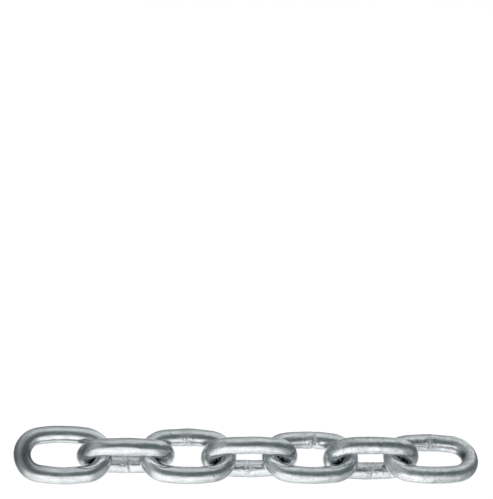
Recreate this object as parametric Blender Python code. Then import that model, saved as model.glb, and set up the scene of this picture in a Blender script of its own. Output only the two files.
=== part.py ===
"""A straight length of welded steel chain: seven oval links of round galvanised bar, lying on a floor.

Each link is hooked through the next and leans the other way from it, so the chain stands
on the lower bars of its links, which meet the floor along its front and its back in turn.
The links don't lean quite evenly. The most upright one sets the height of the chain's
middle line, and its neighbours hold the flatter ones up to two millimetres off the floor.
Lengths are in metres. The chain runs along X, Y points away from its front, +Z is up,
and the floor is at z = 0, with the origin below the middle link.
"""

import math

import bmesh
import bpy
from mathutils import Matrix, Vector

# Size of one link
BAR_DIAMETER = 0.0070
INSIDE_LENGTH = 0.0254
INSIDE_WIDTH = 0.0100
CROWN_RADIUS = 0.0079  # of the bar's centreline round each end of the link

# Lay of the chain
END_PLAY = 0.0005  # room between two crowns that are hooked through each other
LEANS = (60, 38, 50, 47, 43, 51, 37)  # degrees that each link stands up from flat on the floor

# Finish
ZINC_GREY = (0.56, 0.58, 0.58, 1.0)
ZINC_ROUGHNESS = 0.34

# Fineness of the mesh
BAR_SIDES = 16
CROWN_STEPS = 12
SIDE_STEPS = 5  # odd, so that one flat length of the bar lies across the link's middle
WELD_DISTANCE = 0.000001

# Sizes that follow from those above
HALF_LENGTH = (INSIDE_LENGTH + BAR_DIAMETER) / 2  # of the bar's centreline, as all the next ones
HALF_WIDTH = (INSIDE_WIDTH + BAR_DIAMETER) / 2
CROWN_CENTRE = HALF_LENGTH - CROWN_RADIUS
SIDE_RADIUS = (CROWN_CENTRE**2 + HALF_WIDTH**2 - CROWN_RADIUS**2) / (2 * (HALF_WIDTH - CROWN_RADIUS))
SIDE_CENTRE = SIDE_RADIUS - HALF_WIDTH
SIDE_ANGLE = 2 * math.asin(CROWN_CENTRE / (SIDE_RADIUS - CROWN_RADIUS))
CROWN_ANGLE = math.pi - SIDE_ANGLE
FACET_ANGLE = 2 * math.pi / BAR_SIDES

# The bar's corners stand out a little, so that the many-sided bar holds as much steel as a round one
CORNER_RADIUS = BAR_DIAMETER / 2 * math.sqrt(FACET_ANGLE / math.sin(FACET_ANGLE))
FACET_RADIUS = CORNER_RADIUS * math.cos(FACET_ANGLE / 2)

PITCH = INSIDE_LENGTH - END_PLAY
HOOK_TO_CENTRE = PITCH - HALF_LENGTH  # from the hooking point, a link's origin, to the link's middle
MIDDLE_FLAT_BOW = SIDE_RADIUS * (1 - math.cos(SIDE_ANGLE / SIDE_STEPS / 2))
AXIS_HEIGHT = (HALF_WIDTH - MIDDLE_FLAT_BOW) * math.sin(math.radians(max(LEANS))) + FACET_RADIUS


def clear_scene():
    """Remove the objects that a new file starts with."""
    for thing in list(bpy.data.objects):
        bpy.data.objects.remove(thing, do_unlink=True)


def galvanised_steel():
    """Make the bright, slightly dull zinc coat of the bar."""
    material = bpy.data.materials.new("galvanised_steel")
    material.use_nodes = True
    shader = material.node_tree.nodes["Principled BSDF"]
    shader.inputs["Base Color"].default_value = ZINC_GREY
    shader.inputs["Metallic"].default_value = 1.0
    shader.inputs["Roughness"].default_value = ZINC_ROUGHNESS
    return material


def bend_bar(bar, end, centre, angle, steps):
    """Carry the open end of the bar round one bend of the link, and return its new open end."""
    bend = bmesh.ops.spin(bar, geom=end, cent=centre, axis=(0, 0, -1), angle=angle, steps=steps)
    return bend["geom_last"]


def link_mesh(name, roll):
    """Bend a bar to a closed oval of four arcs in the XY plane, with its hooking point at the origin.

    The roll is the turn about X that the link gets in the chain. The bar's section is turned
    with it, so that a flat of the lower bar then faces the floor.
    """
    bar = bmesh.new()
    upright = Matrix.Rotation(math.pi / 2, 4, "Y")
    to_flat = Matrix.Rotation(roll - FACET_ANGLE / 2, 4, "X")
    to_side = Matrix.Translation((0, HALF_WIDTH, 0))
    bmesh.ops.create_circle(
        bar, segments=BAR_SIDES, radius=CORNER_RADIUS, matrix=to_side @ to_flat @ upright
    )
    back_to_start = Matrix.Rotation(SIDE_ANGLE / 2, 3, "Z")
    bmesh.ops.rotate(bar, verts=bar.verts[:], cent=(0, -SIDE_CENTRE, 0), matrix=back_to_start)

    end = bar.verts[:] + bar.edges[:]
    end = bend_bar(bar, end, (0, -SIDE_CENTRE, 0), SIDE_ANGLE, SIDE_STEPS)
    end = bend_bar(bar, end, (CROWN_CENTRE, 0, 0), CROWN_ANGLE, CROWN_STEPS)
    end = bend_bar(bar, end, (0, SIDE_CENTRE, 0), SIDE_ANGLE, SIDE_STEPS)
    bend_bar(bar, end, (-CROWN_CENTRE, 0, 0), CROWN_ANGLE, CROWN_STEPS)

    bmesh.ops.remove_doubles(bar, verts=bar.verts[:], dist=WELD_DISTANCE)
    bmesh.ops.recalc_face_normals(bar, faces=bar.faces[:])
    bmesh.ops.translate(bar, verts=bar.verts[:], vec=Vector((HOOK_TO_CENTRE, 0, 0)))
    mesh = bpy.data.meshes.new(name)
    bar.to_mesh(mesh)
    bar.free()
    mesh.shade_smooth()
    return mesh


def link_roll(index):
    """Give the turn about X of one link: odd links lean away from the front, even ones towards it."""
    lean = math.radians(LEANS[index])
    return lean if index % 2 == 0 else math.pi - lean


def add_link(index, previous, finish):
    """Add one link, hooked on the one before it, or lay the first one down at the chain's start."""
    name = f"link_{index + 1}"
    mesh = link_mesh(name, link_roll(index))
    mesh.materials.append(finish)
    link = bpy.data.objects.new(name, mesh)
    bpy.context.scene.collection.objects.link(link)
    if previous is None:
        first_centre = -PITCH * (len(LEANS) - 1) / 2
        link.location = (first_centre - HOOK_TO_CENTRE, 0, AXIS_HEIGHT)
        link.rotation_euler.x = link_roll(index)
    else:
        link.parent = previous
        link.location.x = PITCH
        link.rotation_euler.x = link_roll(index) - link_roll(index - 1)
    return link


def main():
    """Build the chain from its first link to its last."""
    clear_scene()
    finish = galvanised_steel()
    link = None
    for index in range(len(LEANS)):
        link = add_link(index, link, finish)


main()
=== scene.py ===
# %% [markdown]
# # A length of galvanised steel chain
#
# The object is a straight run of seven oval links, each one bent from 7 mm round bar, closed by a
# butt weld and coated with zinc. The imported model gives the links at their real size, as bars with
# sixteen flats. This lesson puts a smooth, worked surface round each of them: the slight waves of
# bent and dipped bar, the weld in the middle of one side, and the bright, grainy zinc coat.
# Lengths are in metres, and MM turns millimetres into them.

import math

import bmesh
import bpy
import numpy as np
from mathutils import Matrix, Vector, noise
from mathutils.kdtree import KDTree


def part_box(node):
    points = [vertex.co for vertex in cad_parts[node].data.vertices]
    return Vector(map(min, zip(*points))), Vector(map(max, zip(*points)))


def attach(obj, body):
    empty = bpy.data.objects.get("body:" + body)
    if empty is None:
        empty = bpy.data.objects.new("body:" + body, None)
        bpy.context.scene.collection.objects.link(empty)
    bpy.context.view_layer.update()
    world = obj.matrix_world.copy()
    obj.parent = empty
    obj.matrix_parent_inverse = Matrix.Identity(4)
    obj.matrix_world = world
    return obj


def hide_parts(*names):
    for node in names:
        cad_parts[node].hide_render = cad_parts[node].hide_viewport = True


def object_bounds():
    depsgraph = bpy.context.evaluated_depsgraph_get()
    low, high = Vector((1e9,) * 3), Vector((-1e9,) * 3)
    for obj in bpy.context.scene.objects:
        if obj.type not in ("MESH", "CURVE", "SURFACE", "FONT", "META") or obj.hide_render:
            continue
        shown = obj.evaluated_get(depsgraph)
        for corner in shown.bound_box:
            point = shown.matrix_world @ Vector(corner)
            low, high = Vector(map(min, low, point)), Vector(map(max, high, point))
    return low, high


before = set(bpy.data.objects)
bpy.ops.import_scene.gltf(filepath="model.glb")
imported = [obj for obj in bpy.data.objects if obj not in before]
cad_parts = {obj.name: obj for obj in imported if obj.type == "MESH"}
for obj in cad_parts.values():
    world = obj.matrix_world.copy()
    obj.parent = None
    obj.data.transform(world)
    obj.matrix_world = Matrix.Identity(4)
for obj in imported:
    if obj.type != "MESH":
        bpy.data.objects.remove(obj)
cad_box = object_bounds()
MM = 0.001
LINK_NAMES = sorted(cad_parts)


def in_millimetres(box):
    """Give the two corners of a box in rounded millimetres."""
    return [[round(side / MM, 2) for side in corner] for corner in box]


print("links:", LINK_NAMES)
print("box of the solids in mm:", in_millimetres(cad_box))

# %% [markdown]
# ## The camera
#
# The chain is seen from a little above and from a little to the left of its middle, so its left
# end is nearer. A long lens keeps the near and far links almost the same size. The camera could be
# placed by eye, but it is easier to repeat when it is worked out: first turned to the chain's
# middle from a known side and height, then turned a little more, so that the middle comes to lie
# where it is wanted in the picture.

# %% Place the camera
PICTURE_WIDTH = 493
PICTURE_HEIGHT = 499
MIDDLE_IN_PICTURE = (249.24, 456.9)  # pixels from the left and from the top
PIXELS_PER_MM = 2.4838
CAMERA_DEPTH = 0.80
CAMERA_AZIMUTH = math.radians(-8.15)
CAMERA_ELEVATION = math.radians(13.3)
CAMERA_ROLL = math.radians(2.5)
SENSOR = 36.0  # mm, along the picture's longer side
VIEW_REACH = 200.0  # metres, past the far edge of the floor

focal_pixels = PIXELS_PER_MM * CAMERA_DEPTH / MM
chain_middle = (Vector(cad_box[0]) + Vector(cad_box[1])) / 2

straight_look = (
    Matrix.Rotation(CAMERA_AZIMUTH, 3, "Z")
    @ Matrix.Rotation(math.pi / 2 - CAMERA_ELEVATION, 3, "X")
    @ Matrix.Rotation(CAMERA_ROLL, 3, "Z")
)
to_middle = Vector((
    (MIDDLE_IN_PICTURE[0] - PICTURE_WIDTH / 2) / focal_pixels,
    (PICTURE_HEIGHT / 2 - MIDDLE_IN_PICTURE[1]) / focal_pixels,
    -1.0,
))
extra_turn = Vector((0, 0, -1)).rotation_difference(to_middle).to_matrix()
camera_turn = straight_look @ extra_turn.inverted()
camera_place = chain_middle - camera_turn @ (to_middle * CAMERA_DEPTH)

camera_data = bpy.data.cameras.new("camera")
camera_data.sensor_width = SENSOR
camera_data.lens = focal_pixels * SENSOR / max(PICTURE_WIDTH, PICTURE_HEIGHT)
camera_data.clip_end = VIEW_REACH
camera = bpy.data.objects.new("camera", camera_data)
camera.matrix_world = Matrix.Translation(camera_place) @ camera_turn.to_4x4()
bpy.context.scene.collection.objects.link(camera)
bpy.context.scene.camera = camera
print("lens in mm:", round(camera_data.lens, 1), "camera at:", [round(value, 3) for value in camera_place])

# %% [markdown]
# ## The shape of a link
#
# A link is an endless bar, bent to an oval. Its ends, the crowns, are almost half circles, and its
# sides bow out slightly, so the oval is made of four arcs that run smoothly into each other. A
# torus stretched to an oval would be quick, but it would flatten the bar. Spinning a circle
# through one arc after the other keeps the bar round everywhere, and is how the bar was bent.

# %% Driving sizes of a link
BAR_RADIUS = 3.5 * MM
INSIDE_LENGTH = 25.4 * MM
INSIDE_WIDTH = 10.0 * MM
CROWN_RADIUS = 7.9 * MM  # of the bar's middle line round each end

HALF_LENGTH = INSIDE_LENGTH / 2 + BAR_RADIUS
HALF_WIDTH = INSIDE_WIDTH / 2 + BAR_RADIUS
CROWN_CENTRE = HALF_LENGTH - CROWN_RADIUS
SIDE_RADIUS = (CROWN_CENTRE**2 + HALF_WIDTH**2 - CROWN_RADIUS**2) / (2 * (HALF_WIDTH - CROWN_RADIUS))
SIDE_CENTRE = SIDE_RADIUS - HALF_WIDTH
SIDE_ANGLE = 2 * math.asin(CROWN_CENTRE / (SIDE_RADIUS - CROWN_RADIUS))
CROWN_ANGLE = math.pi - SIDE_ANGLE

# Fineness of the mesh, and how near the two ends of the bent bar have to lie to be joined
BAR_SIDES = 88
SIDE_STEPS = 76
CROWN_STEPS = 104
JOIN_DISTANCE = 0.001 * MM

bar_length = 2 * (SIDE_RADIUS * SIDE_ANGLE + CROWN_RADIUS * CROWN_ANGLE)
print("length of bar in a link in mm:", round(bar_length / MM, 1))


# %% Bend the bar to an oval
def bend_bar(bar, end, centre, angle, steps):
    """Carry the open end of the bar round one bend, and return its new open end."""
    bend = bmesh.ops.spin(bar, geom=end, cent=centre, axis=(0, 0, -1), angle=angle, steps=steps)
    return bend["geom_last"]


def smooth_link():
    """Make the mesh of a closed oval of round bar, flat in the XY plane round the origin."""
    bar = bmesh.new()
    to_side = Matrix.Translation((0, HALF_WIDTH, 0)) @ Matrix.Rotation(math.pi / 2, 4, "Y")
    bmesh.ops.create_circle(bar, segments=BAR_SIDES, radius=BAR_RADIUS, matrix=to_side)
    back_to_start = Matrix.Rotation(SIDE_ANGLE / 2, 3, "Z")
    bmesh.ops.rotate(bar, verts=bar.verts[:], cent=(0, -SIDE_CENTRE, 0), matrix=back_to_start)

    end = bar.verts[:] + bar.edges[:]
    end = bend_bar(bar, end, (0, -SIDE_CENTRE, 0), SIDE_ANGLE, SIDE_STEPS)
    end = bend_bar(bar, end, (CROWN_CENTRE, 0, 0), CROWN_ANGLE, CROWN_STEPS)
    end = bend_bar(bar, end, (0, SIDE_CENTRE, 0), SIDE_ANGLE, SIDE_STEPS)
    bend_bar(bar, end, (-CROWN_CENTRE, 0, 0), CROWN_ANGLE, CROWN_STEPS)

    bmesh.ops.remove_doubles(bar, verts=bar.verts[:], dist=JOIN_DISTANCE)
    bmesh.ops.recalc_face_normals(bar, faces=bar.faces[:])
    mesh = bpy.data.meshes.new("smooth_link")
    bar.to_mesh(mesh)
    bar.free()
    mesh.shade_smooth()
    return mesh


plain_mesh = smooth_link()
print("faces in a link:", len(plain_mesh.polygons))

# %% [markdown]
# ## Coordinates along the bar
#
# Drawn bar has fine lines along it, and they follow every bend. A pattern in plain X, Y and Z would
# cut straight across the crowns. So each point also gets the place it had on the bar before it was
# bent: how far along the bar, and where round it. The two ends of that straight bar meet at the
# weld, where a break in the pattern is right.

# %% Unbend the bar
HALF_SIDE = SIDE_RADIUS * SIDE_ANGLE / 2
WHOLE_CROWN = CROWN_RADIUS * CROWN_ANGLE


def place_on_bar(point):
    """Give the point's place on the straight bar: along it from the side opposite the weld, and round it.

    The weld is in the middle of the side at -Y.
    """
    x = abs(point.x)
    crown_turn = math.atan2(point.y, x - CROWN_CENTRE)
    if abs(crown_turn) < CROWN_ANGLE / 2:
        along = HALF_SIDE + CROWN_RADIUS * (CROWN_ANGLE / 2 - crown_turn)
        outward = math.hypot(x - CROWN_CENTRE, point.y) - CROWN_RADIUS
    else:
        along = SIDE_RADIUS * math.atan2(x, abs(point.y) + SIDE_CENTRE)
        outward = math.hypot(x, abs(point.y) + SIDE_CENTRE) - SIDE_RADIUS
        if point.y < 0:
            along = 2 * HALF_SIDE + WHOLE_CROWN - along
    return Vector((math.copysign(along, point.x), outward, point.z))


plain_points = [vertex.co.copy() for vertex in plain_mesh.vertices]
bar_points = [place_on_bar(point) for point in plain_points]
print("half the bar in mm:", round(max(point.x for point in bar_points) / MM, 2))

# %% [markdown]
# ## Where each link lies
#
# Neighbouring links lean opposite ways, and none leans quite as its neighbours do. The places and
# leans could be typed in, but read from the solids they stay right when the solids change. A link's
# middle is the middle of its box. Its lean is read from its points: seen along the chain they fill
# a band, and the band's long direction is the direction across the link, from its lower side to its
# upper side.

# %% Measure the place and lean of each link
def link_place(name):
    """Give the matrix that carries a link from flat round the origin to its place, and its turn about X.

    The link's Y direction, across the link, then points upwards.
    """
    low, high = (Vector(corner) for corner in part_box(name))
    points = np.array([vertex.co[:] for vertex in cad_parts[name].data.vertices])
    spread = np.cov(points[:, 1:], rowvar=False)
    across = np.linalg.eigh(spread)[1][:, -1]
    roll = math.atan2(across[1], across[0]) % math.pi
    return Matrix.Translation((low + high) / 2) @ Matrix.Rotation(roll, 4, "X"), roll


for name in LINK_NAMES:
    roll = link_place(name)[1]
    lean = math.degrees(min(roll, math.pi - roll))
    print(name, "stands up from flat by", round(lean, 1), "degrees")

# %% [markdown]
# ## The worked surface
#
# Bar that was bent, welded, tumbled and coated isn't a perfect tube. It is slightly wavy over a
# few millimetres, and the zinc stands on it in low bumps and a few pimples. Bump in a material could
# fake the small ones, but the edge of the metal would stay a perfect curve. So the points themselves
# are pushed in and out along their normals by smooth noise, and only the finest grain is bump.

# %% Waves, lines and peel of the coated bar
WAVE_SIZE = 6.5 * MM
WAVE_HEIGHT = 0.13 * MM
LINE_LENGTH = 9.0 * MM
LINE_WIDTH = 1.5 * MM
LINE_HEIGHT = 0.045 * MM
LINE_WANDER = 0.2  # how much the lines stray from straight
PEEL_SIZE = 1.5 * MM  # low bumps close together, like the peel of an orange
PEEL_HEIGHT = 0.05 * MM
PEEL_SHARE = 0.3  # of that height on the smoothest link
PEEL_EXTRA = 0.25  # added to the share on the coarsest link


def coat_relief(point, on_bar, coarse):
    """Give how far one point of the coat stands out from the plain bar."""
    line_place = Vector((on_bar.x / LINE_LENGTH, on_bar.y / LINE_WIDTH, on_bar.z / LINE_WIDTH))
    wave = noise.noise(point / WAVE_SIZE) * WAVE_HEIGHT
    line = noise.noise(line_place + point / WAVE_SIZE * LINE_WANDER) * LINE_HEIGHT
    peel = noise.noise(point / PEEL_SIZE) * PEEL_HEIGHT * (PEEL_SHARE + PEEL_EXTRA * coarse)
    return wave + line + peel


deepest = (WAVE_HEIGHT + LINE_HEIGHT + PEEL_HEIGHT * (PEEL_SHARE + PEEL_EXTRA)) / MM
print("waves, lines and peel together stay within", round(deepest, 2), "mm")

# %% Pimples of zinc
PIMPLE_COUNT = 60  # on the coarsest link
PIMPLE_HEIGHT = 0.09 * MM
PIMPLE_RADIUS = 0.45 * MM
PIMPLE_HEIGHTS = (0.3, 1.0)  # least and most, as shares of the full height
PIMPLE_WIDTHS = (0.6, 1.3)  # and of the usual radius


def pimple_relief(points, coarse, chance):
    """Give the height that scattered pimples of zinc add at each point."""
    relief = np.zeros(len(points))
    for _ in range(round(PIMPLE_COUNT * coarse)):
        middle = points[chance.integers(len(points))]
        radius = PIMPLE_RADIUS * chance.uniform(*PIMPLE_WIDTHS)
        height = PIMPLE_HEIGHT * chance.uniform(*PIMPLE_HEIGHTS)
        distance = np.linalg.norm(points - middle, axis=1)
        relief += height * np.exp(-(distance / radius) ** 2)
    return relief


print("highest pimple in mm:", round(PIMPLE_HEIGHT * PIMPLE_HEIGHTS[1] / MM, 2))

# %% [markdown]
# ## The welds
#
# Each bar is closed in the middle of one side by a butt weld: its two ends were pressed together
# while they were hot. That leaves the bar a little thicker there, with a shallow groove where the
# ends met, often with one end standing slightly proud of the other, and the marks of the tool that
# took the burr off. A weld could be a ring laid over the bar, but the real one is the bar itself, so
# the bar's own points are moved. No two welds are alike, so a table gives each link its own.

# %% The weld of each link
# upper: whether the weld is in the upper side. The rest in mm: at: how far the seam is from the
# side's middle, slant: how far it leans over the bar, width and groove: how wide and deep the seam
# is, swell: how far the bar swells, step: how far one end stands out, burr: how rough it is.
WELDS = {
    "link_1": {
        "upper": False, "at": -0.6, "slant": 0.0, "width": 2.8, "groove": 0.26,
        "swell": 0.00, "step": 0.00, "burr": 0.05,
    },
    "link_2": {
        "upper": False, "at": 1.3, "slant": 0.9, "width": 0.36, "groove": 0.32,
        "swell": 0.12, "step": 0.10, "burr": 0.18,
    },
    "link_3": {
        "upper": True, "at": 0.0, "slant": 0.3, "width": 0.32, "groove": 0.08,
        "swell": 0.12, "step": 0.04, "burr": 0.20,
    },
    "link_4": {
        "upper": False, "at": 0.4, "slant": 0.4, "width": 0.32, "groove": 0.08,
        "swell": 0.12, "step": 0.04, "burr": 0.20,
    },
    "link_5": {
        "upper": True, "at": -1.7, "slant": 0.0, "width": 0.50, "groove": 0.55,
        "swell": 0.12, "step": -0.26, "burr": 0.18,
    },
    "link_6": {
        "upper": False, "at": 1.2, "slant": 0.0, "width": 0.30, "groove": 0.16,
        "swell": 0.10, "step": 0.08, "burr": 0.22,
    },
    "link_7": {
        "upper": True, "at": 0.0, "slant": 0.5, "width": 0.40, "groove": 0.05,
        "swell": 0.10, "step": 0.00, "burr": 0.22,
    },
}
print("links welded in their upper side:", [name for name in LINK_NAMES if WELDS[name]["upper"]])

# %% Relief of a weld
SWELL_LENGTH = 2.6 * MM
BURR_SIZE = 0.7 * MM
SEAM_WANDER = 0.35  # mm that the seam strays from a straight line
WANDER_SIZE = 2.5 * MM
NO_WELD = 0.01  # nearness under which the weld no longer shows
OUTER_SHARE = 0.1  # of the seam's marks that is left on the outer side of the oval
OUTER_SWELL = 0.3  # of the swelling that is left there


def weld_nearness(point):
    """Give 1 at the weld, falling smoothly to 0 a few millimetres to its sides."""
    if point.y > 0:
        return 0.0
    return math.exp(-(point.x / SWELL_LENGTH) ** 2)


def weld_relief(point, on_bar, weld):
    """Give how far the weld makes one point stand out.

    The point is one of the plain link, with its weld in the middle of the side at -Y. The tool that
    takes the burr off reaches the outer side of the oval well and the inner side badly.
    """
    near = weld_nearness(point)
    if near < NO_WELD:
        return 0.0
    inner = min(1.0, max(OUTER_SHARE, 0.5 - on_bar.y / BAR_RADIUS))
    wander = noise.noise(point / WANDER_SIZE) * SEAM_WANDER
    seam = point.x / MM - weld["at"] - wander - weld["slant"] * on_bar.z / BAR_RADIUS
    groove = math.exp(-(seam / weld["width"]) ** 2)
    first_end = 0.5 - 0.5 * math.tanh(2 * seam / weld["width"])
    burr = noise.noise(point / BURR_SIZE) * near
    marks = weld["burr"] * burr - weld["groove"] * groove + weld["step"] * first_end * near
    swell = weld["swell"] * near * (OUTER_SWELL + (1 - OUTER_SWELL) * inner)
    return (swell + marks * inner) * MM


print("a weld swells the bar for", round(SWELL_LENGTH / MM, 1), "mm to each side")

# %% [markdown]
# ## Single marks
#
# Here and there the coat has a mark of its own: a lump where the zinc ran together, a pit where it
# didn't take. They could be left to chance, as the pimples are, but they are few and large enough to
# be seen one by one, so each has its own line in a table.

# %% Lumps and pits
# link, place of the mark, how wide it is and how far it stands out, all in mm
MARKS = (
    ("link_3", (-31.9, 3.0, 19.7), 0.55, 0.14),
    ("link_5", (28.1, 2.7, 16.0), 0.75, 0.22),
    ("link_6", (51.8, -7.7, 20.0), 0.50, -0.20),
    ("link_6", (57.8, 1.5, 4.6), 0.90, 0.26),
    ("link_6", (60.1, 2.0, 2.8), 0.80, 0.22),
    ("link_7", (88.0, -1.0, 12.6), 0.80, -0.24),
)


def mark_relief(points, name):
    """Give the height that the link's single marks add at each point."""
    relief = np.zeros(len(points))
    for owner, place, width, height in MARKS:
        if owner == name:
            distance = np.linalg.norm(points / MM - place, axis=1)
            relief += height * MM * np.exp(-(distance / width) ** 2)
    return relief


print("single marks:", len(MARKS))

# %% [markdown]
# ## Darker and brighter places
#
# Zinc isn't equally bright all over a chain. It is duller where links rubbed on each other or hung in
# the bath against something, and brighter where the coat is thick. The places here make the zinc
# darker or brighter than its own colour, partly as such zinc and partly as painted light and shade.
# The first link's outer crown is widely darker, as painted shade, and painted highlights lift parts
# of the middle and last links above the zinc's own brightness. The last link has a dark spot on the
# inside of its outer crown. A painted picture could hold such places. A short list of soft round
# ones needs no picture and is easily changed.

# %% Tone of the zinc
# link, middle of the place, how wide it is (both in mm), and how bright the zinc is made there, partly as
# painted light and shade
TONES = (
    ("link_1", (-89.3, -3.7, 10.9), 5.5, 0.45),
    ("link_1", (-86.0, -5.5, 7.6), 4.0, 0.62),
    ("link_2", (-67.4, -5.6, 14.0), 4.0, 0.52),
    ("link_2", (-32.5, -6.0, 13.7), 3.5, 0.68),
    ("link_3", (-41.8, -5.4, 8.6), 5.0, 1.18),
    ("link_4", (1.2, 3.9, 7.6), 5.0, 1.20),
    ("link_4", (17.5, -5.3, 14.1), 3.5, 0.65),
    ("link_5", (7.9, -5.9, 8.4), 6.0, 1.18),
    ("link_5", (23.2, 4.1, 19.4), 9.0, 1.20),
    ("link_5", (20.5, 3.0, 14.8), 3.0, 0.66),
    ("link_6", (67.0, -5.4, 14.6), 3.5, 0.78),
    ("link_7", (58.5, -6.1, 9.7), 7.0, 1.28),
    ("link_7", (68.6, -10.0, 5.1), 5.0, 1.15),
    ("link_7", (87.7, -0.7, 12.1), 2.8, 0.22),
)


def zinc_tone(points, name):
    """Give how bright the zinc is made at each point of a link, partly as painted light and shade."""
    tone = np.ones(len(points))
    for owner, place, width, brightness in TONES:
        if owner == name:
            distance = np.linalg.norm(points / MM - place, axis=1)
            tone *= 1 + (brightness - 1) * np.exp(-(distance / width) ** 2)
    return tone


dull_count = sum(brightness < 1 for _, _, _, brightness in TONES)
print("dull places:", dull_count, "bright places:", len(TONES) - dull_count)

# %% [markdown]
# ## The hooks, and what the finish has to know
#
# Where two links hook through each other, zinc ran together and was rubbed smooth, and there the
# finish is darkened as painted shade, with some dirt. One link could be worked while it is flat and
# be copied seven times, but then all would have the same bumps, and none would know where its
# neighbours are. So each one starts as a copy of the plain oval, is carried to its place, and is
# worked there. Five things are stored with its points for the finish: the place on the straight bar,
# how near the weld is, the gap to the next link, how coarse the link's coat is, and how bright the
# zinc is made there, partly as painted light and shade.

# %% Find the hooks
HOOK_REACH = 3.0 * MM  # how far from a neighbour's bar the gap is measured
TOP_OF_BAR = 0.999 * BAR_RADIUS  # height of the one row of points that runs along the bar's top


def turned_place(name):
    """Give the link's place, turned so that its weld comes to the upper or the lower side."""
    place = link_place(name)[0]
    if WELDS[name]["upper"]:
        place = place @ Matrix.Rotation(math.pi, 4, "Z")
    return place


def bar_axis_tree(name):
    """Make a search tree of the middle line of a link's bar in its place."""
    place = turned_place(name)
    tree = KDTree(len(plain_points))
    for index, (point, on_bar) in enumerate(zip(plain_points, bar_points)):
        if on_bar.z > TOP_OF_BAR:
            tree.insert(place @ Vector((point.x, point.y, 0)), index)
    tree.balance()
    return tree


def gap_to_neighbours(points, name):
    """Give each point's distance from the nearest neighbour's bar, up to the reach of the hook."""
    number = LINK_NAMES.index(name)
    neighbours = LINK_NAMES[max(0, number - 1):number] + LINK_NAMES[number + 1:number + 2]
    gaps = np.full(len(points), HOOK_REACH)
    for neighbour in neighbours:
        tree = axis_trees[neighbour]
        found = np.array([tree.find(point)[2] for point in points]) - BAR_RADIUS
        gaps = np.minimum(gaps, found)
    return gaps


axis_trees = {name: bar_axis_tree(name) for name in LINK_NAMES}
print("points on the middle line of a bar:", sum(on_bar.z > TOP_OF_BAR for on_bar in bar_points))

# %% Work the surface of a link
# How coarse the coat of each link is, from 0 for smooth to 1
COARSENESS = {
    "link_1": 0.15, "link_2": 0.3, "link_3": 0.35, "link_4": 0.35,
    "link_5": 0.6, "link_6": 0.85, "link_7": 1.0,
}
HOOK_OPEN = 1.1 * MM  # gap up to which zinc ran together in the hook
HOOK_EDGE = 1.5  # how sharply that zinc begins there
HOOK_FILL = 0.24 * MM  # most that it stands out
HOOK_PLAY = 0.05 * MM  # least that stays free of half the gap


def worked_points(name, mesh, gaps):
    """Give the places of the link's points on its worked surface, none of them below the floor."""
    chance = np.random.default_rng(LINK_NAMES.index(name) + 1)
    points = [vertex.co.copy() for vertex in mesh.vertices]
    normals = [vertex.normal.copy() for vertex in mesh.vertices]
    hook = np.clip(HOOK_EDGE - HOOK_EDGE * gaps / HOOK_OPEN, 0, 1)
    fill = np.clip(gaps / 2 - HOOK_PLAY, 0, HOOK_FILL)
    lumps = pimple_relief(np.array(points), COARSENESS[name], chance) + mark_relief(np.array(points), name)
    worked = []
    for index, point in enumerate(points):
        out = coat_relief(point, bar_points[index], COARSENESS[name]) + lumps[index]
        out += weld_relief(plain_points[index], bar_points[index], WELDS[name])
        out = out * (1 - hook[index]) + fill[index] * hook[index]
        new_place = point + normals[index] * out
        new_place.z = max(new_place.z, 0)
        worked.append(new_place)
    return worked


print("coarsest link:", max(COARSENESS, key=COARSENESS.get))

# %% Store what the finish needs
BAR_SHIFT = 10  # mm between the places of two links on the straight bar, so that their lines differ


def store(mesh, name, kind, values):
    """Store one number or vector for each point of the mesh."""
    attribute = mesh.attributes.new(name, kind, "POINT")
    field = "vector" if kind == "FLOAT_VECTOR" else "value"
    attribute.data.foreach_set(field, np.ravel(values))


def store_for_finish(mesh, name, points, gaps):
    """Store the five things that the finish reads. The points are those of the plain link in its place."""
    shift = BAR_SHIFT * LINK_NAMES.index(name) * MM
    store(mesh, "on_bar", "FLOAT_VECTOR", np.array(bar_points) + [shift, 0, 0])
    store(mesh, "weld", "FLOAT", [weld_nearness(point) for point in plain_points])
    store(mesh, "hook_gap", "FLOAT", gaps / MM)
    store(mesh, "coarse", "FLOAT", np.full(len(points), COARSENESS[name]))
    store(mesh, "tone", "FLOAT", zinc_tone(np.array(points), name))


print("shift between two links in mm:", BAR_SHIFT)

# %% [markdown]
# ## The zinc finish
#
# The common name is galvanised steel: bar that is pickled clean and then dipped in molten zinc, or
# tumbled with it in a drum. It gives the eye a bright metal that mirrors softly, and it is never
# even. The coat is a little duller in patches, has fine lines along the bar, grains the size of
# coarse sand, and dark specks where it is thin. At the welds it is dirty and rough, and in the hooks
# it is rough and darkened as painted shade, with some dirt.
# A picture wrapped round the bar could show that, but with a seam and with one fineness only. Noise
# has neither, and each pattern gets its size in millimetres from the real one.

# %% Helpers for materials
def linear(hex_colour):
    """Turn an sRGB hex colour into the linear colour that Blender's shaders take."""
    channels = (int(hex_colour[start:start + 2], 16) / 255 for start in (1, 3, 5))
    return (*(c / 12.92 if c <= 0.04045 else ((c + 0.055) / 1.055) ** 2.4 for c in channels), 1.0)


def add_node(tree, kind, settings=None, links=None):
    """Add a node, set its options and sockets, and link its inputs."""
    node = tree.nodes.new(kind)
    for key, value in (settings or {}).items():
        if isinstance(key, str) and hasattr(node, key):
            setattr(node, key, value)
        else:
            node.inputs[key].default_value = value
    for key, socket in (links or {}).items():
        tree.links.new(socket, node.inputs[key])
    return node


print("middle grey in linear light:", round(linear("#808080")[0], 3))

# %% Start the galvanised zinc
zinc = bpy.data.materials.new("galvanised_zinc")
zinc.use_nodes = True
zinc_nodes = zinc.node_tree
zinc_shader = zinc_nodes.nodes["Principled BSDF"]
zinc_shader.inputs["Metallic"].default_value = 1.0

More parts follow.
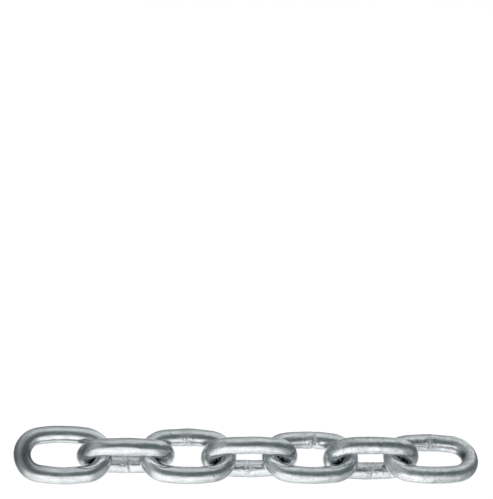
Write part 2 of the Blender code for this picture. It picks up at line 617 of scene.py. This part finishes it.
# The place in space, and the five things stored with the points
in_space = add_node(zinc_nodes, "ShaderNodeTexCoord").outputs["Object"]
on_bar = add_node(zinc_nodes, "ShaderNodeAttribute", {"attribute_name": "on_bar"}).outputs["Vector"]
near_weld = add_node(zinc_nodes, "ShaderNodeAttribute", {"attribute_name": "weld"}).outputs["Fac"]
hook_gap = add_node(zinc_nodes, "ShaderNodeAttribute", {"attribute_name": "hook_gap"}).outputs["Fac"]
coarse = add_node(zinc_nodes, "ShaderNodeAttribute", {"attribute_name": "coarse"}).outputs["Fac"]
# How bright the zinc is made by the table of places, partly painted light and shade
tone = add_node(zinc_nodes, "ShaderNodeAttribute", {"attribute_name": "tone"}).outputs["Fac"]
print("started the finish:", zinc.name)

# %% [markdown]
# ### Patterns in the coat
#
# Four things make the zinc uneven: wide patches where the coat is thicker, smaller blotches, grains
# where the zinc set, and the lines that the drawing die left on the bar. They could be painted by
# hand, but noise of the right size covers the whole bar evenly. The lines follow the stored place
# on the straight bar, so they run round every bend.

# %% Patterns of the zinc
PATCH_SIZE = 7.0 * MM
MOTTLE_SIZE = 2.2 * MM
# The real lines are about 0.1 mm apart and the real grains half as wide as these. Both are too fine
# to show, so they are drawn coarser.
LINE_SPACING = 0.7 * MM
GRAIN_SIZE = 0.8 * MM
LINE_STRETCH = (0.12, 1.0, 1.0)  # the lines are eight times longer than wide

patches = add_node(
    zinc_nodes, "ShaderNodeTexNoise",
    {"Scale": 1 / PATCH_SIZE, "Detail": 3.0, "Roughness": 0.55},
    {"Vector": in_space},
).outputs["Fac"]
stretched = add_node(
    zinc_nodes, "ShaderNodeMapping", {"Scale": LINE_STRETCH}, {"Vector": on_bar}
).outputs["Vector"]
lines = add_node(
    zinc_nodes, "ShaderNodeTexNoise",
    {"Scale": 1 / LINE_SPACING, "Detail": 3.0, "Roughness": 0.6},
    {"Vector": stretched},
).outputs["Fac"]
grain = add_node(
    zinc_nodes, "ShaderNodeTexNoise",
    {"Scale": 1 / GRAIN_SIZE, "Detail": 3.0, "Roughness": 0.6},
    {"Vector": in_space},
).outputs["Fac"]
mottle = add_node(
    zinc_nodes, "ShaderNodeTexNoise",
    {"Scale": 1 / MOTTLE_SIZE, "Detail": 4.0, "Roughness": 0.6},
    {"Vector": in_space},
).outputs["Fac"]
print("grains across the bar:", round(2 * BAR_RADIUS / GRAIN_SIZE, 1))

# %% [markdown]
# ### Colour of the coat
#
# Clean zinc is almost white and slightly blue. The colour of a metal tints all that it mirrors, so
# a dull place is simply a darker colour. One finished pattern could do for the whole coat, but built
# up in layers each part can be changed alone: first the clean zinc, then the mottling of the coarse
# links, then the dark specks, and last the painted shade with some dirt in the hooks, together with
# the painted light and shade of the table of places.

# %% Clean zinc: bright, a little duller in patches, darker along the lines
NOISE_SPAN = {"From Min": 0.35, "From Max": 0.65}  # most of what a noise pattern gives lies in it
BRIGHT_ZINC = "#F1F3F5"
DULL_ZINC = "#DFE2E4"
LINE_TONES = {"To Min": 0.83, "To Max": 1.07}  # brightness along the lines

bright = add_node(
    zinc_nodes, "ShaderNodeMix",
    {"data_type": "RGBA", 6: linear(DULL_ZINC), 7: linear(BRIGHT_ZINC)},
    {0: patches},
).outputs[2]
line_tone = add_node(
    zinc_nodes, "ShaderNodeMapRange", {**NOISE_SPAN, **LINE_TONES}, {"Value": lines}
).outputs["Result"]
toned = add_node(
    zinc_nodes, "ShaderNodeMix",
    {"data_type": "RGBA", "blend_type": "MULTIPLY", 0: 1.0},
    {6: bright, 7: line_tone},
).outputs[2]
print("brightest and dullest zinc:", [round(linear(shade)[1], 2) for shade in (BRIGHT_ZINC, DULL_ZINC)])

# %% Mottled zinc, most of all on the coarse links
MOTTLE_LEAST = 0.15  # how strongly the mottling shows on a link without any coarseness
MOTTLE_EXTRA = 0.7  # how much more on the coarsest link
MOTTLE_TONES = {"To Min": 0.72, "To Max": 1.12}
GRAIN_TONES = {"To Min": 0.88, "To Max": 1.14}

mottle_tone = add_node(
    zinc_nodes, "ShaderNodeMapRange", {**NOISE_SPAN, **MOTTLE_TONES}, {"Value": mottle}
).outputs["Result"]
grain_tone = add_node(
    zinc_nodes, "ShaderNodeMapRange", {**NOISE_SPAN, **GRAIN_TONES}, {"Value": grain}
).outputs["Result"]
clouded = add_node(
    zinc_nodes, "ShaderNodeMath", {"operation": "MULTIPLY"}, {0: mottle_tone, 1: grain_tone}
).outputs["Value"]
mottle_share = add_node(
    zinc_nodes, "ShaderNodeMath",
    {"operation": "MULTIPLY_ADD", 1: MOTTLE_EXTRA, 2: MOTTLE_LEAST},
    {0: coarse},
).outputs["Value"]
mottled = add_node(
    zinc_nodes, "ShaderNodeMix",
    {"data_type": "RGBA", "blend_type": "MULTIPLY"},
    {0: mottle_share, 6: toned, 7: clouded},
).outputs[2]
print("mottling on the coarsest link:", MOTTLE_LEAST + MOTTLE_EXTRA)

# %% Dark specks, and painted shade with some dirt in the hooks
SPECK_GREY = "#6E7472"
SPECK_STRENGTH = 0.55
SPECK_SPAN = {"From Min": 0.66, "From Max": 0.74}  # only the few strongest grains are specks
# Gap to the next link in mm where the darkening begins and where it is full, and how bright it leaves the
# zinc: first light painted shade with a film of dirt, then deep painted shade with caked dirt
SOILED_SPAN = {"From Min": 1.4, "From Max": 0.6, "To Min": 1.0, "To Max": 0.85}
CAKED_SPAN = {"From Min": 0.62, "From Max": 0.51, "To Min": 1.0, "To Max": 0.2}

speck = add_node(
    zinc_nodes, "ShaderNodeMapRange",
    {**SPECK_SPAN, "To Min": 0.0, "To Max": SPECK_STRENGTH},
    {"Value": grain},
).outputs["Result"]
specked = add_node(
    zinc_nodes, "ShaderNodeMix",
    {"data_type": "RGBA", 7: linear(SPECK_GREY)},
    {0: speck, 6: mottled},
).outputs[2]
# Painted shade with some dirt where the next link comes near: the nearer, the darker
soiled = add_node(
    zinc_nodes, "ShaderNodeMapRange",
    {"interpolation_type": "SMOOTHSTEP", **SOILED_SPAN},
    {"Value": hook_gap},
).outputs["Result"]
caked = add_node(
    zinc_nodes, "ShaderNodeMapRange",
    {"interpolation_type": "SMOOTHSTEP", **CAKED_SPAN},
    {"Value": hook_gap},
).outputs["Result"]
dirt = add_node(
    zinc_nodes, "ShaderNodeMath", {"operation": "MULTIPLY"}, {0: soiled, 1: caked}
).outputs["Value"]
# The painted shade of the hooks, times the painted light and shade of the table of places
dulled = add_node(
    zinc_nodes, "ShaderNodeMath", {"operation": "MULTIPLY"}, {0: dirt, 1: tone}
).outputs["Value"]
dirty = add_node(
    zinc_nodes, "ShaderNodeMix",
    {"data_type": "RGBA", "blend_type": "MULTIPLY", 0: 1.0},
    {6: specked, 7: dulled},
).outputs[2]
zinc_nodes.links.new(dirty, zinc_shader.inputs["Base Color"])
# Below this gap the hook is darkened most, as painted shade with some dirt
print("caked with dirt where the next link is nearer than", CAKED_SPAN["From Max"], "mm")

# %% [markdown]
# ### Gloss and the finest relief
#
# Polished zinc would mirror the studio with sharp edges, and blasted zinc would only glow. The coat
# of a chain is in between, so its roughness is low but not zero, and higher in dull patches, at the
# weld and on the coarse links. Its finest lines and grains could be modelled as the larger waves
# are, but would take millions of faces. Bump tilts the light on them instead.

# %% Gloss of the zinc
PATCH_SPAN = {"From Min": 0.3, "From Max": 0.7}  # nearly all that the patches' noise gives lies in it
BRIGHT_GLOSS = 0.13  # roughness of the brightest patches
DULL_GLOSS = 0.25  # and of the dullest
WELD_DULLNESS = 0.14  # added at the weld
COARSE_DULLNESS = 0.08  # added on the coarsest link

dull = add_node(
    zinc_nodes, "ShaderNodeMapRange",
    {**PATCH_SPAN, "To Min": BRIGHT_GLOSS, "To Max": DULL_GLOSS},
    {"Value": patches},
).outputs["Result"]
rough = add_node(
    zinc_nodes, "ShaderNodeMath",
    {"operation": "MULTIPLY_ADD", 1: WELD_DULLNESS},
    {0: near_weld, 2: dull},
).outputs["Value"]
rougher = add_node(
    zinc_nodes, "ShaderNodeMath",
    {"operation": "MULTIPLY_ADD", 1: COARSE_DULLNESS},
    {0: coarse, 2: rough},
).outputs["Value"]
zinc_nodes.links.new(rougher, zinc_shader.inputs["Roughness"])
print("roughness from", BRIGHT_GLOSS, "to", round(DULL_GLOSS + WELD_DULLNESS + COARSE_DULLNESS, 2))

# %% Bump: fine lines and grain
LINE_DEPTH = 0.03 * MM
LINE_STRENGTH = 0.7
GRAIN_DEPTH = 0.07 * MM
GRAIN_LEAST = 0.13  # strength of the grain on a link without any coarseness
GRAIN_EXTRA = 0.12  # how much more on the coarsest link

line_bump = add_node(
    zinc_nodes, "ShaderNodeBump",
    {"Strength": LINE_STRENGTH, "Distance": LINE_DEPTH},
    {"Height": lines},
).outputs["Normal"]
grain_strength = add_node(
    zinc_nodes, "ShaderNodeMath",
    {"operation": "MULTIPLY_ADD", 1: GRAIN_EXTRA, 2: GRAIN_LEAST},
    {0: coarse},
).outputs["Value"]
grain_bump = add_node(
    zinc_nodes, "ShaderNodeBump",
    {"Distance": GRAIN_DEPTH},
    {"Height": grain, "Strength": grain_strength, "Normal": line_bump},
).outputs["Normal"]
zinc_nodes.links.new(grain_bump, zinc_shader.inputs["Normal"])
print("nodes in the finish:", len(zinc_nodes.nodes))

# %% [markdown]
# ## Make the links
#
# With the surface and the finish ready, the seven links are made one after the other. A linked copy
# of one mesh would save memory, but each link has its own weld, marks and bumps, so each gets a mesh
# of its own. It replaces the many-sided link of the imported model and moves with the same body.

# %% Make and dress the links
def make_link(name):
    """Make the worked and coated surface of one link in its place."""
    mesh = plain_mesh.copy()
    mesh.transform(turned_place(name))
    points = [vertex.co.copy() for vertex in mesh.vertices]
    gaps = gap_to_neighbours(points, name)
    worked = worked_points(name, mesh, gaps)
    mesh.vertices.foreach_set("co", np.ravel(worked))
    mesh.update()
    store_for_finish(mesh, name, points, gaps)
    mesh.materials.append(zinc)
    link = bpy.data.objects.new(f"{name}_bar", mesh)
    bpy.context.scene.collection.objects.link(link)
    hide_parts(name)
    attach(link, name)
    return link


links = [make_link(name) for name in LINK_NAMES]
print("made", len(links), "links")

# %% [markdown]
# ## The floor
#
# Small shiny goods are photographed on clear glass, with a wide white sheet some way below it, so
# that no shadow falls round them. The sheet here is matt white paper, uncoated, which gives the eye
# an even white without gloss. It runs out of the picture on all sides and glows a little, as paper
# does under strong lamps. It could lie right under the chain, but then it would hide links that
# swing down, so it lies deeper than the chain can hang. The glass is left out, because it would only
# add mirror images of its own. Metal shows hardly anything but what it mirrors, and what a studio
# puts round a shiny object is chosen for that, so the sheet is kept out of the mirror images too,
# and the cards of the next step stand in for it.

# %% Lay the floor
FLOOR_SIZE = 120.0  # metres, so that its edges are out of sight from all sides
FLOOR_DEPTH = 0.25  # below the chain, which can hang 0.17 m down from its first link
FLOOR_GLOW = 0.86  # enough, with the light on it, to look white
FLOOR_GREY = "#B3B3B3"


def add_floor():
    """Lay the wide white sheet below the chain."""
    mesh = bpy.data.meshes.new("floor")
    sheet = bmesh.new()
    depth = Matrix.Translation((0, 0, -FLOOR_DEPTH))
    bmesh.ops.create_grid(sheet, x_segments=1, y_segments=1, size=FLOOR_SIZE / 2, matrix=depth)
    sheet.to_mesh(mesh)
    sheet.free()
    white = bpy.data.materials.new("matt_white_sheet")
    white.use_nodes = True
    shader = white.node_tree.nodes["Principled BSDF"]
    shader.inputs["Base Color"].default_value = linear(FLOOR_GREY)
    shader.inputs["Roughness"].default_value = 1.0
    shader.inputs["Specular IOR Level"].default_value = 0.0
    shader.inputs["Emission Color"].default_value = (1, 1, 1, 1)
    shader.inputs["Emission Strength"].default_value = FLOOR_GLOW
    mesh.materials.append(white)
    floor = bpy.data.objects.new("floor", mesh)
    floor.visible_glossy = False
    bpy.context.scene.collection.objects.link(floor)


add_floor()
print("the sheet lies", FLOOR_DEPTH, "m below the chain")

# %% [markdown]
# ## The studio round the chain
#
# Each bar shows four stripes: light grey on top, a dark band above its middle, a bright lower half
# and a thin grey rim. These are mirror images of a soft ceiling light, a dark room on the camera's
# side, and a bright table below. Lamps could light the chain too, but they would give small hard
# glints, so the room is painted on the world as soft-edged round cards. Each one covers the cards
# before it, as real cards stand in front of each other.

# %% Paint the cards
DARK_ROOM = (0.154, 0.181, 0.177)
# name, compass angle from the chain's front towards its right, height angle, inner and outer
# angle of the soft edge (all in degrees), and brightness in red, green and blue
CARDS = (
    ("left wall", -78, 6, 41, 78, (0.384, 0.420, 0.425)),
    ("back wall", 146, 51, 15, 42, (0.828, 0.844, 0.844)),
    ("ceiling", -159, 67, 25, 44, (0.437, 0.456, 0.458)),
    ("ceiling lamp", 63, 66, 17, 41, (0.718, 0.749, 0.751)),
    ("dim side of the table", 36, -53, 36, 71, (0.470, 0.501, 0.504)),
    ("dark doorway on the left", -111, 9, 9, 47, (0.165, 0.194, 0.193)),
    ("dark front", 39, 33, 3, 43, (0.129, 0.163, 0.155)),
    ("dark wall behind the table", 178, 18, 10, 30, (0.135, 0.162, 0.156)),
    ("back of the table", 172, -21, 23, 51, (0.90, 0.908, 0.912)),
    ("middle of the table", -74, -76, 11, 41, (1.098, 1.098, 1.098)),
    ("front of the table", -15, -39, 13, 50, (1.296, 1.296, 1.296)),
)


def card_direction(compass, height):
    """Give the unit vector that points from the chain to the middle of a card."""
    level = math.cos(math.radians(height))
    side = math.sin(math.radians(compass)) * level
    front = math.cos(math.radians(compass)) * level
    return (side, -front, math.sin(math.radians(height)))


def paint_studio():
    """Paint the dark room and its cards on the world."""
    world = bpy.data.worlds.new("studio")
    world.use_nodes = True
    bpy.context.scene.world = world
    tree = world.node_tree
    look = add_node(tree, "ShaderNodeTexCoord").outputs["Generated"]
    colour = add_node(tree, "ShaderNodeRGB")
    colour.outputs["Color"].default_value = (*DARK_ROOM, 1)
    painted = colour.outputs["Color"]
    for name, compass, height, inner, outer, brightness in CARDS:
        nearness = add_node(
            tree, "ShaderNodeVectorMath",
            {"label": name, "operation": "DOT_PRODUCT", 1: card_direction(compass, height)},
            {0: look},
        ).outputs["Value"]
        mask = add_node(
            tree, "ShaderNodeMapRange",
            {
                "interpolation_type": "SMOOTHSTEP",
                "From Min": math.cos(math.radians(outer)),
                "From Max": math.cos(math.radians(inner)),
            },
            {"Value": nearness},
        ).outputs["Result"]
        painted = add_node(
            tree, "ShaderNodeMix",
            {"data_type": "RGBA", 7: (*brightness, 1)},
            {0: mask, 6: painted},
        ).outputs[2]
    tree.links.new(painted, tree.nodes["Background"].inputs["Color"])
    # Past the edge of the sheet the camera sees plain white, and only the metal sees the cards
    seen = add_node(tree, "ShaderNodeLightPath").outputs["Is Camera Ray"]
    backdrop = add_node(tree, "ShaderNodeBackground", {"Color": (1, 1, 1, 1)})
    either = add_node(
        tree, "ShaderNodeMixShader", {},
        {0: seen, 1: tree.nodes["Background"].outputs[0], 2: backdrop.outputs[0]},
    )
    tree.links.new(either.outputs[0], tree.nodes["World Output"].inputs["Surface"])


paint_studio()
bpy.context.scene.view_settings.view_transform = "Standard"
print("cards round the chain:", len(CARDS))
